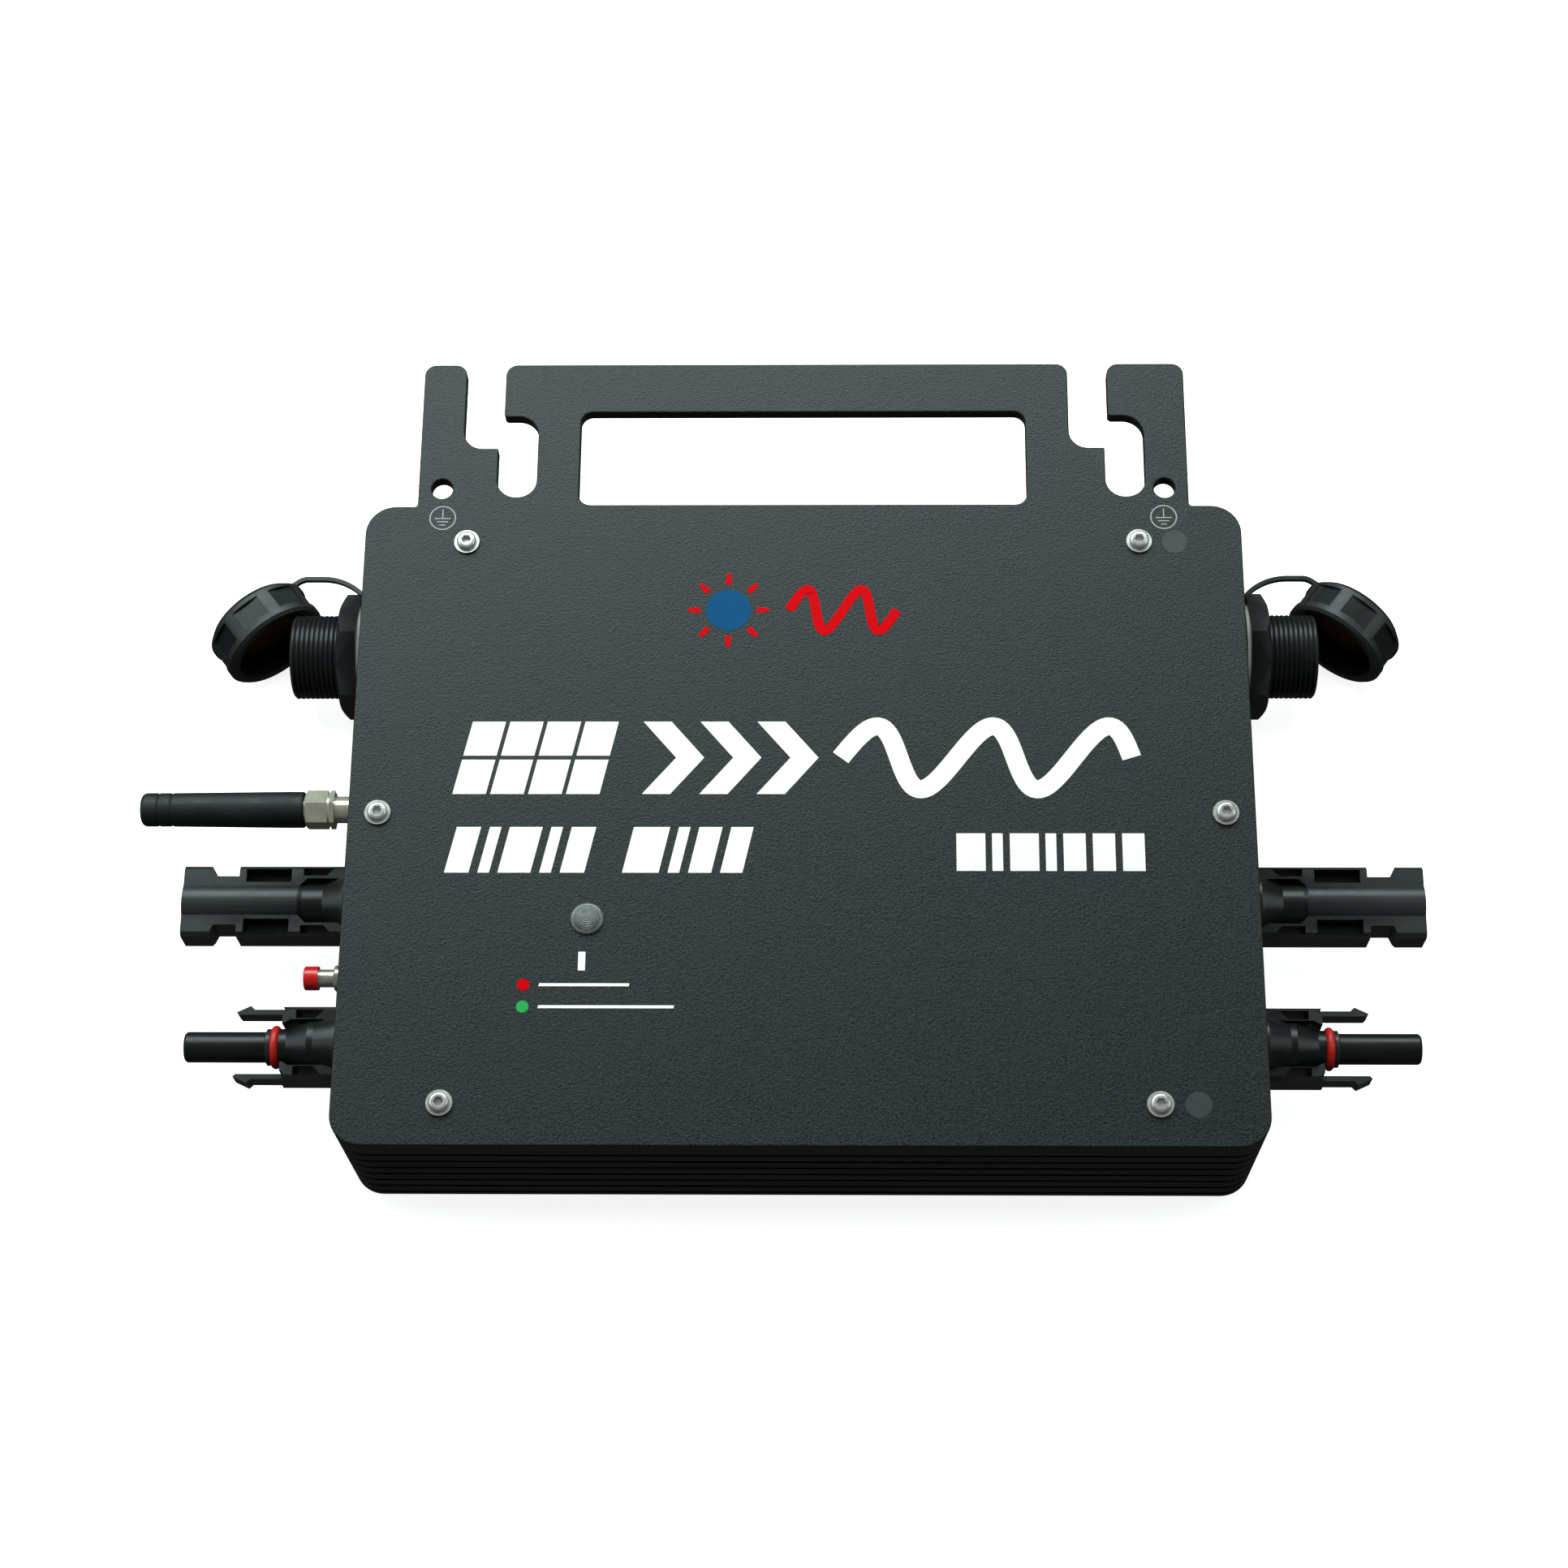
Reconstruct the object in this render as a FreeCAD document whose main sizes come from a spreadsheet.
"""Grid-tie micro inverter, lying on its rear face with the cover plate up.

Frame: origin at the centre of the housing's rear face, +X to the right, +Y towards the hanging
hooks, +Z out of the cover plate. Millimetres and degrees. Side fittings are drawn with their own
+Z pointing out of the wall that they sit in.
"""
import FreeCAD, Part
import math
import os
import re

import Sketcher

Vector = FreeCAD.Vector

# ---------------------------------------------------------------- driving dimensions
DIMENSIONS = (
    # cover plate with its hooks and handle
    ("PlateWidth", 205.0, "cover plate and housing, left to right"),
    ("PlateHeight", 155.0, "bottom edge to shoulder"),
    ("CornerRadius", 7.0, "outer corners of plate and housing"),
    ("PlateThickness", 3.0, "cover plate"),
    ("HookHeight", 37.9, "shoulder to the top of hooks and handle"),
    ("TabInset", 11.9, "side of the plate to the side of the hook and handle tab"),
    ("TabCornerRadius", 2.8, "top corners of the tab"),
    ("ShoulderFillet", 0.8, "inside corner between tab and shoulder"),
    ("HookSpacing", 143.4, "left hook to right hook"),
    ("HookOffset", 0.1, "middle of the two hooks, right of centre"),
    ("EntryWidth", 9.3, "hook entry slot"),
    ("SeatWidth", 9.3, "hook seat slot"),
    ("SeatShift", 8.3, "entry slot to seat slot, sideways"),
    ("EntryFloor", 15.4, "shoulder to the floor of the entry slot"),
    ("SeatFloor", 2.5, "shoulder to the bottom of the seat slot"),
    ("LipHeight", 23.7, "shoulder to the underside of the hook's lip"),
    ("EntryRadius", 4.4, "inside corner of the entry slot"),
    ("SeatRadius", 4.5, "bottom corners of the seat slot"),
    ("LipRadius", 4.8, "inside corner under the lip"),
    ("EdgeRadius", 1.0, "small outside corners of the hooks"),
    ("PlateEdge", 0.375, "rounding of the cover plate's upper edges"),
    ("HandleWidth", 105.4, "handle window"),
    ("HandleLow", 0.4, "shoulder to the window's lower edge"),
    ("HandleHigh", 24.9, "shoulder to the window's upper edge"),
    ("HandleRadius", 2.8, "corners of the handle window"),
    ("EarthHoleInset", 17.5, "side of the plate to the earth holes"),
    ("EarthHoleHeight", 4.6, "shoulder to the earth holes"),
    ("EarthHoleRadius", 2.5, "earth holes"),
    # housing
    ("HousingDepth", 38.6, "rear face to the rim"),
    ("WallThickness", 6.0, "side walls"),
    ("FloorThickness", 5.0, "rear wall"),
    ("RibPitch", 5.2, "groove to groove round the sides"),
    ("RibGrooveWidth", 1.5, "cooling groove"),
    ("RibGrooveDepth", 1.6, "cooling groove"),
    ("FirstGroove", 2.5, "rear face to the first groove"),
    ("RibGrooveCount", 7, "cooling grooves"),
    ("GasketInset", 3.1, "outer face to the gasket"),
    ("GasketWidth", 1.5, "cover gasket"),
    ("GasketThickness", 1.2, "cover gasket"),
    ("LabelWidth", 120.0, "rating label on the rear"),
    ("LabelHeight", 55.0, "rating label on the rear"),
    ("LabelPlace", -40.0, "centre of the rear face to the label's centre"),
    ("LabelMargin", 0.4, "label to the edge of its recess"),
    ("LabelRecess", 0.4, "depth of the label's recess"),
    ("LabelThickness", 0.2, "rating label"),
    # cover screws
    ("ScrewInsetX", 24.0, "side of the plate to the corner screws"),
    ("ScrewInsetY", 9.5, "bottom edge and shoulder to the corner screws"),
    ("MiddleScrewInset", 6.8, "side of the plate to the middle screws"),
    ("ScrewRadius", 1.5, "screw shank"),
    ("ScrewHeadRadius", 2.3, "domed part of the screw head"),
    ("ScrewFlangeRadius", 2.95, "flange of the screw head"),
    ("ScrewFlangeThickness", 0.6, "flange of the screw head"),
    ("ScrewHeadHeight", 1.9, "screw head with its flange"),
    ("ScrewLength", 11.0, "screw under its head"),
    ("ScrewKeySize", 2.0, "hexagon socket across flats"),
    ("ScrewClearance", 0.3, "screw to the plate's hole, radial"),
    ("BossRadius", 4.0, "screw bosses"),
    ("BossFit", 0.03, "screw to the boss's hole, radial"),
    ("BossHoleDepth", 12.0, "screw holes in the bosses"),
    # indicator lens, light and dots
    ("LensX", -47.5, "indicator lens"),
    ("LensY", -25.4, "indicator lens"),
    ("LensFlangeRadius", 3.7, "lens flange"),
    ("LensFlangeThickness", 0.7, "lens flange"),
    ("LensDomeRadius", 2.9, "foot of the lens dome"),
    ("LensDomeHeight", 2.4, "top of the dome above the plate"),
    ("LensStemRadius", 2.4, "stem in the plate"),
    ("LedRadius", 1.8, "status light"),
    ("LedCrown", 0.9, "flat top of the status light"),
    ("LedShoulder", 1.0, "slanted shoulder of the status light"),
    ("LedLength", 6.0, "status light above its flange"),
    ("LedFlangeRadius", 2.16, "flange of the status light"),
    ("LedFlangeThickness", 1.0, "flange of the status light"),
    ("LedStalkRadius", 1.26, "stalk of the status light"),
    ("LedGap", 0.5, "status light to the underside of the plate"),
    ("DotRadius", 3.0, "inspection dots"),
    ("DotRecess", 0.5, "recess of the inspection dots"),
    ("DotInset", 15.7, "side of the plate to the inspection dots"),
    # side fittings: common
    ("AxisHeight", 19.0, "rear face to the axis of each side fitting"),
    ("FitGap", 0.05, "sliding and screwed fits, radial"),
    ("MoveGap", 0.3, "between pieces that move past each other"),
    ("CutterReach", 1.0, "cuts past the faces that they open"),
    ("SmallBevel", 0.3, "ends of screws, jack, bushing, sleeve and collar"),
    ("ContactBevel", 0.4, "ends of the contacts"),
    ("EndBevel", 0.5, "ends of the pins, the probe tube and the threaded mouth"),
    # AC sockets and their caps
    ("AcInset", 28.8, "shoulder to the AC sockets, along the side"),
    ("AcNeckRadius", 8.0, "neck through the wall"),
    ("AcTail", 15.0, "outer wall face to the inner end of the neck"),
    ("AcHexFlats", 26.0, "outer hexagon across flats"),
    ("AcHexThickness", 4.6, "outer hexagon"),
    ("AcThreadRadius", 9.9, "outside thread of the socket"),
    ("AcThreadRoot", 9.6, "root of the socket's thread"),
    ("AcThreadReach", 0.1, "thread grooves past the crests"),
    ("AcThreadPitch", 1.15, "socket thread"),
    ("AcThreadTurns", 9, "turns of the socket thread"),
    ("AcThreadLength", 11.5, "threaded shell past the hexagon"),
    ("AcBoreRadius", 8.3, "mouth of the AC socket"),
    ("AcBoreDepth", 9.0, "mouth to the insert's face"),
    ("AcTailBore", 5.5, "lead bore behind the insert"),
    ("AcInsertLength", 6.0, "insert that holds the pins"),
    ("AcPinRadius", 1.25, "AC pins"),
    ("AcPinLength", 5.5, "AC pins past the insert"),
    ("AcPinCircle", 4.2, "axis to each pin"),
    ("AcNutFlats", 22.0, "inner nut across flats"),
    ("AcNutThickness", 4.0, "inner nut"),
    ("SpacerRadius", 12.4, "spacer washer"),
    ("SpacerDisc", 0.8, "disc of the spacer washer"),
    ("SpacerHubRadius", 9.5, "hub that carries the tether"),
    ("TetherThickness", 1.0, "moulded tether strap"),
    ("TetherWidth", 1.4, "moulded tether strap"),
    ("TetherRingRadius", 12.6, "tether ring on the socket"),
    ("TetherStart", 9.6, "socket axis to the strap's root, along the side"),
    ("TetherBend", 13.3, "radius of the strap's first bend"),
    ("TetherEyeGap", 0.7, "closed end of the cap to the tether's eye"),
    ("TetherRunPast", 0.6, "straight strap past the cap's edge"),
    ("CapOut", 24.1, "outer wall face to the cap's mouth"),
    ("CapForward", 4.9, "socket axis to the cap's mouth, along the side"),
    ("CapMouthHeight", 14.5, "rear face to the centre of the cap's mouth"),
    ("CapYaw", 52.5, "cap axis off the socket's axis, degrees"),
    ("CapTilt", 2.0, "cap mouth tipped up, degrees"),
    ("CapRadius", 13.0, "protective cap"),
    ("CapLength", 10.0, "protective cap"),
    ("CapBoreRadius", 10.4, "mouth of the cap"),
    ("CapBoreDepth", 7.8, "mouth of the cap"),
    ("CapEdge", 1.4, "bevel round the closed end"),
    ("CapMouthBevel", 0.7, "bevel round the mouth"),
    ("CapFlatDepth", 0.7, "grip panels"),
    ("CapFlatWidth", 7.0, "grip panels"),
    ("CapFlatLength", 5.4, "grip panels"),
    ("CapFlatStart", 2.2, "mouth to the grip panels"),
    ("CapFlatCount", 8, "grip panels"),
    ("CapStudRadius", 3.0, "stud that the tether turns on"),
    ("CapStudHeadRadius", 4.5, "head of the stud"),
    ("CapStudHeadThickness", 1.0, "head of the stud"),
    ("CapStudBevel", 0.4, "bevel round the head of the stud"),
    ("TetherEyeRadius", 6.6, "tether eye on the cap"),
    ("CapSealThickness", 1.4, "seal in the cap"),
    # antenna
    ("AntennaPlace", 9.6, "antenna along the side"),
    ("JackRadius", 3.15, "coaxial jack thread"),
    ("JackOut", 9.0, "jack past the wall"),
    ("JackTail", 10.0, "jack inside the wall"),
    ("JackSpigotRadius", 1.89, "inner end of the jack"),
    ("JackSpigotLength", 2.0, "inner end of the jack"),
    ("JackBoreRadius", 2.2, "mouth of the jack"),
    ("JackBoreDepth", 6.0, "mouth of the jack"),
    ("JackNutFlats", 8.0, "jack nut across flats"),
    ("JackNutThickness", 2.2, "jack nut"),
    ("AntennaNutFlats", 8.0, "antenna nut across flats"),
    ("AntennaNutStart", 6.6, "wall to the antenna nut"),
    ("AntennaNutLength", 6.8, "antenna nut"),
    ("AntennaNutBevel", 0.5, "bevel of the antenna nut's corners"),
    ("AntennaNutGrooveRadius", 3.92, "floor of the antenna nut's groove"),
    ("AntennaNutGroovePlace", 1.1, "foot of the antenna nut to its groove"),
    ("AntennaNutGrooveWidth", 0.5, "groove of the antenna nut"),
    ("FerruleStart", 9.4, "wall to the antenna's ferrule"),
    ("FerruleRadius", 3.1, "antenna ferrule"),
    ("FerruleSpigotRadius", 2.5, "ferrule inside the sleeve"),
    ("FerruleSpigotLength", 6.0, "ferrule inside the sleeve"),
    ("WhipStart", 13.8, "wall to the rubber sleeve"),
    ("WhipLength", 38.3, "rubber sleeve"),
    ("WhipRadius", 4.25, "rubber sleeve"),
    ("WhipStraight", 4.0, "straight foot of the sleeve, before its taper"),
    ("WhipTipRadius", 3.95, "rubber sleeve near its tip"),
    ("WhipGroove", 0.22, "ring grooves near the tip"),
    ("WhipGrooveHalf", 0.35, "half the width of the ring grooves"),
    ("WhipGrooveFar", 7.2, "tip to the far ring groove"),
    ("WhipGrooveNear", 4.1, "tip to the near ring groove"),
    ("WhipTipRound", 1.38, "rounding of the sleeve's tip"),
    # push button
    ("ButtonPlace", -31.9, "push button along the side"),
    ("BushRadius", 3.0, "button bushing"),
    ("BushOut", 4.3, "bushing past the wall"),
    ("BushTail", 11.0, "bushing inside the wall"),
    ("BushBoreRadius", 2.8, "rear bore of the bushing"),
    ("BushLipStart", 1.6, "wall to the bushing's front lip"),
    ("ButtonNutFlats", 7.5, "button nut across flats"),
    ("ButtonNutThickness", 2.0, "button nut"),
    ("PlungerRadius", 2.05, "button plunger"),
    ("PlungerShoulder", 2.45, "shoulder that keeps the plunger in"),
    ("PlungerOut", 8.0, "wall to the red cap"),
    ("PlungerTail", 4.0, "plunger inside the wall"),
    ("ButtonCapRadius", 2.75, "red cap"),
    ("ButtonCapLength", 3.3, "red cap"),
    ("ButtonCapRound", 0.44, "rounding of the red cap"),
    ("ButtonSpigotRadius", 1.65, "plunger in the red cap"),
    ("ButtonSocketDepth", 2.0, "plunger in the red cap"),
    ("SwitchLength", 8.0, "switch block behind the bushing"),
    ("SwitchWidth", 7.0, "switch block behind the bushing"),
    # DC sockets
    ("SocketPlace", -14.4, "DC sockets along the side"),
    ("SocketOut", 40.0, "wall to the socket's face"),
    ("SocketWidth", 17.2, "socket body"),
    ("SocketThickness", 8.6, "socket body"),
    ("SocketRidgeRadius", 5.6, "round core of the socket body"),
    ("SocketShoulder", 13.4, "wall to the solid part of the body"),
    ("NeckGapSlope", 2.0, "slanted end of the gap beside the neck"),
    ("NeckGapRise", 1.0, "foot of the round core below the solid part"),
    ("SocketBevel", 1.0, "bevel on the body's long edges"),
    ("NotchStart", 27.2, "wall to the side notches"),
    ("NotchLength", 5.3, "side notches"),
    ("NotchDepth", 2.7, "side notches"),
    ("NotchSlope", 1.2, "slanted side of the notches"),
    ("WindowStart", 15.1, "wall to the latch windows"),
    ("WindowLength", 10.5, "latch windows"),
    ("WindowWidth", 3.2, "latch windows"),
    ("WindowRim", 0.9, "side face to the latch windows"),
    ("WindowWeb", 1.4, "web that closes the latch windows halfway down"),
    ("RailWidth", 3.2, "side rails beside the neck"),
    ("RailPocketLength", 7.2, "pockets in the side rails"),
    ("RailPocketStart", 5.2, "wall to the pockets in the rails"),
    ("RailPocketWidth", 1.9, "pockets in the side rails"),
    ("SocketBoreRadius", 3.7, "bore for the mating tube"),
    ("SocketBoreDepth", 22.0, "bore for the mating tube"),
    ("SocketMouthRadius", 5.1, "mouth for the mating seal"),
    ("SocketMouthDepth", 4.0, "mouth for the mating seal"),
    ("DcNeckRadius", 5.2, "neck of the DC fittings"),
    ("DcFlareRadius", 7.6, "flared foot of the DC fittings"),
    ("DcFlareFoot", 2.6, "straight part of the flared foot"),
    ("DcFlareEnd", 7.6, "wall to the end of the flared foot"),
    ("DcThreadRadius", 5.0, "thread of the DC fittings in the wall"),
    ("DcTail", 13.0, "DC fittings inside the wall"),
    ("DcNutFlats", 14.0, "inner DC nuts across flats"),
    ("DcNutThickness", 4.0, "inner DC nuts"),
    ("ContactRadius", 1.9, "metal contacts"),
    ("ContactTail", 15.0, "contacts inside the wall"),
    ("SocketContactOut", 32.0, "wall to the end of the socket's contact"),
    ("SocketContactBore", 1.14, "drilled end of the socket's contact"),
    ("ContactBoreDepth", 5.7, "drilled end of the contacts"),
    # DC plugs
    ("PlugPlace", -48.4, "DC plugs along the side"),
    ("PlugBody", 15.0, "plug body"),
    ("PlugGapSlope", 1.5, "slanted end of the gap beside the plug's neck"),
    ("PlugPocketLength", 6.6, "pockets beside the plug's neck"),
    ("PlugPocketStart", 5.4, "wall to the plug's pockets"),
    ("PlugPocketWidth", 2.1, "pockets beside the plug's neck"),
    ("PlugPocketRim", 0.9, "side face to the plug's pockets"),
    ("PlugDomeRadius", 6.2, "round core of the plug body"),
    ("PlugDomeEnd", 9.0, "wall to the end of the round core"),
    ("PlugConeEnd", 13.95, "wall to where the core has narrowed to the collar"),
    ("PlugCollarRadius", 4.2, "collar at the foot of the tube"),
    ("PlugCollarEnd", 18.9, "wall to the end of the collar"),
    ("PlugTubeRadius", 3.5, "probe tube"),
    ("PlugTubeEnd", 37.3, "wall to the tip of the probe tube"),
    ("PlugTubeBore", 2.6, "inside of the probe tube"),
    ("PlugTubeBoreDepth", 16.0, "inside of the probe tube"),
    ("PlugContactOut", 34.0, "wall to the end of the plug's contact"),
    ("PlugContactBore", 0.76, "drilled end of the plug's contact"),
    ("SealPlace", 16.7, "wall to the middle of the seal ring"),
    ("SealRadius", 4.0, "seal ring, centre line"),
    ("SealThickness", 1.9, "seal ring, across its section"),
    ("LatchOffset", 7.6, "plug axis to the middle of each latch"),
    ("LatchThickness", 1.2, "latch arms"),
    ("LatchHeight", 5.0, "latch arms"),
    ("LatchLength", 10.8, "latch arms past the body"),
    ("LatchBarb", 0.9, "barb past the latch's outer face"),
    ("LatchBarbLength", 3.2, "barb along the latch"),
    ("LatchKnuckle", 0.6, "rounded root of each latch"),
    # electronics
    ("BoardInsetX", 23.5, "outer wall face to the side of the main board"),
    ("BoardInsetY", 16.5, "outer wall face to the ends of the main board"),
    ("BoardThickness", 1.6, "main board"),
    ("StandoffHeight", 4.0, "standoffs under the board"),
    ("StandoffRadius", 3.5, "standoffs under the board"),
    ("StandoffInset", 6.0, "edge of the board to the standoffs"),
    ("BoardScrewHead", 2.8, "board screws"),
    ("BoardScrewHeight", 2.0, "head of the board screws"),
    ("BoardScrewLength", 5.0, "board screws under the head"),
    ("TransformerWidth", 32.0, "power transformers"),
    ("TransformerDepth", 27.0, "power transformers"),
    ("TransformerHeight", 22.0, "power transformers"),
    ("CoreDepth", 16.2, "core of the power transformers"),
    ("CoilWidth", 19.2, "winding of the power transformers"),
    ("TransformerSpread", 44.0, "between the transformers"),
    ("CoilOverhang", 2.0, "winding past the transformer core"),
    ("CapacitorRadius", 8.0, "bulk capacitors"),
    ("CapacitorHeight", 24.0, "bulk capacitors"),
    ("CapacitorSpread", 19.0, "between the capacitors"),
    ("CapacitorRow", -40.0, "bulk capacitors"),
    ("TransistorWidth", 10.0, "power transistors"),
    ("TransistorThickness", 4.6, "power transistors"),
    ("TransistorHeight", 16.0, "power transistors"),
    ("TransistorSpread", 16.0, "between the transistors"),
    ("ClampThickness", 2.0, "clamp bar of the transistors"),
    ("ClampHeight", 8.0, "clamp bar of the transistors"),
    ("ClampPlace", 4.0, "board to the clamp bar"),
    ("ChokeRadius", 12.0, "line choke, centre line"),
    ("ChokeSection", 4.6, "line choke, section radius"),
    ("ChokeX", -38.0, "line choke"),
    ("ChokeY", 38.0, "line choke"),
    ("RelayWidth", 19.0, "grid relays"),
    ("RelayDepth", 15.5, "grid relays"),
    ("RelayHeight", 15.0, "grid relays"),
    ("RelaySpread", 24.0, "between the relays"),
    ("RadioWidth", 12.0, "radio module"),
    ("RadioHeight", 20.0, "radio module"),
    ("RadioThickness", 3.2, "radio module"),
    ("RadioInset", 2.0, "side of the board to the radio module"),
    ("LeadRadius", 1.7, "DC leads"),
    ("MainsLeadRadius", 3.2, "AC leads"),
    ("CoaxRadius", 0.9, "antenna lead"),
    ("CoaxLanding", 0.1, "straight end of the antenna lead"),
    ("LeadBend", 5.0, "bend of the leads"),
    ("LeadInset", 3.0, "side of the board to where the leads meet it"),
)

# dimensions that follow from the driving ones, so that fittings stay with the edges they sit at
FOLLOWING = (
    ("TabWidth", "PlateWidth - 2 * TabInset", "across the hook and handle tab"),
    ("EarthHoleSpacing", "PlateWidth - 2 * EarthHoleInset", "between the two earth holes"),
    ("ScrewSpreadX", "PlateWidth - 2 * ScrewInsetX", "corner screws, left to right"),
    ("ScrewSpreadY", "PlateHeight - 2 * ScrewInsetY", "corner screws, top to bottom"),
    ("MiddleScrewSpread", "PlateWidth - 2 * MiddleScrewInset", "middle screws"),
    ("DotX", "PlateWidth / 2 - DotInset", "inspection dots"),
    ("DotSpread", "ScrewSpreadY", "between the inspection dots"),
    ("AcPlace", "PlateHeight / 2 - AcInset", "AC sockets along the side"),
    ("BoardWidth", "PlateWidth - 2 * BoardInsetX", "main board"),
    ("BoardHeight", "PlateHeight - 2 * BoardInsetY", "main board"),
    ("StandoffSpreadX", "BoardWidth - 2 * StandoffInset", "standoffs, left to right"),
    ("StandoffSpreadY", "BoardHeight - 2 * StandoffInset", "standoffs, top to bottom"),
    ("LeadLanding", "BoardWidth / 2 - LeadInset", "centre line to the leads on the board"),
)

# shares and counts
DOME_SHARES = ((1, 0), (0.93, 0.5), (0.7, 0.86), (0.35, 1))  # of the lens dome's radius, height
HEAD_ROUND = 0.45  # rounding of a screw head, share of its height
KEY_DEPTH = 0.7  # hexagon socket, share of the head's height
HEX_REACH = 0.6  # past a hexagon's corners, share of its size across flats
HEX_BEVEL = 0.06  # bevel of a hexagon's corners, share of its size across flats
THREAD_FLANK = 0.38  # half a thread groove, share of the pitch
TRANSFORMER_COUNT = 3
CAPACITOR_COUNT = 6
TRANSISTOR_COUNT = 7
RELAY_COUNT = 3
AC_PIN_COUNT = 3

# heights and places that follow from the driving dimensions
PLATE_TOP = "HousingDepth + PlateThickness"
SHOULDER = "PlateHeight / 2"
BOARD_TOP = "FloorThickness + StandoffHeight + BoardThickness"
HEX_START = "SpacerDisc + TetherThickness + 2 * MoveGap"
AC_MOUTH = f"{HEX_START} + AcHexThickness + AcThreadLength"
SIDES = {"left": -1, "right": 1}

doc = FreeCAD.newDocument("MicroInverter")
sheet = doc.addObject("Spreadsheet::Sheet", "Dim")
for row, (alias, size, note) in enumerate(DIMENSIONS + FOLLOWING, start=1):
    sheet.set(f"A{row}", note)
    sheet.setAlias(f"B{row}", alias)
    sheet.set(f"B{row}", f"={size}")
doc.recompute()

nodes = []


# ---------------------------------------------------------------- helpers
def bound(text):
    """Turn a text of aliases into an expression on the sheet."""
    return re.sub(r"[A-Za-z]\w*", r"Dim.\g<0>", str(text))


def value(text):
    return float(sheet.evalExpression(bound(text)))


def bind(item, name, text):
    item.setExpression(name, bound(text))


def origin_part(body, role):
    return next(part for part in body.Origin.OriginFeatures if part.Role == role)


def new_body(label):
    body = doc.addObject("PartDesign::Body", label)
    body.Label = label
    return body


def export(item, label=None):
    """Mark an object as a finished sub-part, written under its own label."""
    item.Label = label or item.Label
    nodes.append(item)
    return item


def new_sketch(body, role, offset=None):
    sketch = body.newObject("Sketcher::SketchObject", body.Label + "_sketch")
    sketch.AttachmentSupport = [(origin_part(body, role), "")]
    sketch.MapMode = "FlatFace"
    if offset:
        bind(sketch, "AttachmentOffset.Base.z", offset)
    return sketch


def hold(sketch, kind, *reference, size):
    """Add a constraint whose size is an expression."""
    index = sketch.addConstraint(Sketcher.Constraint(kind, *reference, value(size)))
    bind(sketch, f"Constraints[{index}]", size)


def draw_circle(sketch, x, y, radius):
    circle = Part.Circle(Vector(value(x), value(y), 0), Vector(0, 0, 1), value(radius))
    geometry = sketch.addGeometry(circle, False)
    hold(sketch, "DistanceX", -1, 1, geometry, 3, size=x)
    hold(sketch, "DistanceY", -1, 1, geometry, 3, size=y)
    hold(sketch, "Radius", geometry, size=radius)


def corner_arc(before, here, after, radius):
    """Round a right-angled corner: the arc, where it is entered and left, and its turn."""
    back = (before - here).normalize()
    onward = (after - here).normalize()
    enter = here + back * radius
    leave = here + onward * radius
    centre = enter + onward * radius
    left_turn = back.cross(onward).z < 0
    first, last = (enter, leave) if left_turn else (leave, enter)
    start = math.atan2(first.y - centre.y, first.x - centre.x)
    end = math.atan2(last.y - centre.y, last.x - centre.x)
    if end < start:
        end += 2 * math.pi
    arc = Part.ArcOfCircle(Part.Circle(centre, Vector(0, 0, 1), radius), start, end)
    return arc, enter, leave, left_turn


def draw_outline(sketch, corners):
    """Close an outline through (x, y) or (x, y, radius) corners, all of them expressions.

    A corner with a radius lies between a level and an upright side. Sharp corners are held by
    their coordinates, and sides between round corners by their own distance from the origin.
    """
    count = len(corners)
    points = [Vector(value(corner[0]), value(corner[1]), 0) for corner in corners]
    arcs = {}
    enters = list(points)
    leaves = list(points)
    for i, corner in enumerate(corners):
        if len(corner) > 2:
            found = corner_arc(points[i - 1], points[i], points[(i + 1) % count], value(corner[2]))
            arcs[i] = (found[0], found[3])
            enters[i], leaves[i] = found[1], found[2]
    lines = [
        sketch.addGeometry(Part.LineSegment(leaves[i], enters[(i + 1) % count]), False)
        for i in range(count)
    ]
    for i, corner in enumerate(corners):
        before, after = lines[i - 1], lines[i]
        if i in arcs:
            arc, left_turn = arcs[i]
            geometry = sketch.addGeometry(arc, False)
            enter_end, leave_end = (1, 2) if left_turn else (2, 1)
            sketch.addConstraint(Sketcher.Constraint("Tangent", before, 2, geometry, enter_end))
            sketch.addConstraint(Sketcher.Constraint("Tangent", geometry, leave_end, after, 1))
            hold(sketch, "Radius", geometry, size=corner[2])
        else:
            sketch.addConstraint(Sketcher.Constraint("Coincident", before, 2, after, 1))
            hold(sketch, "DistanceX", -1, 1, after, 1, size=corner[0])
            hold(sketch, "DistanceY", -1, 1, after, 1, size=corner[1])
    for i, line in enumerate(lines):
        following = (i + 1) % count
        if i not in arcs and following not in arcs:
            continue
        level = abs(points[i].y - points[following].y) < 1e-6
        sketch.addConstraint(Sketcher.Constraint("Horizontal" if level else "Vertical", line))
        if i in arcs and following in arcs:
            place = corners[i][1] if level else corners[i][0]
            hold(sketch, "DistanceY" if level else "DistanceX", -1, 1, line, 1, size=place)


def draw_rectangle(sketch, left, low, right, high, radius=None):
    tail = (radius,) if radius else ()
    sides = ((left, low), (right, low), (right, high), (left, high))
    draw_outline(sketch, [corner + tail for corner in sides])


def draw_centred(sketch, width, height, radius=None):
    draw_rectangle(
        sketch, f"-({width}) / 2", f"-({height}) / 2", f"({width}) / 2", f"({height}) / 2", radius
    )


def draw_hexagon(sketch, flats, first_corner=0):
    """Draw a hexagon by its size across flats, with its first corner at a given angle."""
    corners = []
    for step in range(6):
        angle = math.radians(first_corner + 60 * step)
        across = 1 / math.sqrt(3)
        corners.append(
            (
                f"({flats}) * {math.cos(angle) * across:.9f}",
                f"({flats}) * {math.sin(angle) * across:.9f}",
            )
        )
    draw_outline(sketch, corners)


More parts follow.
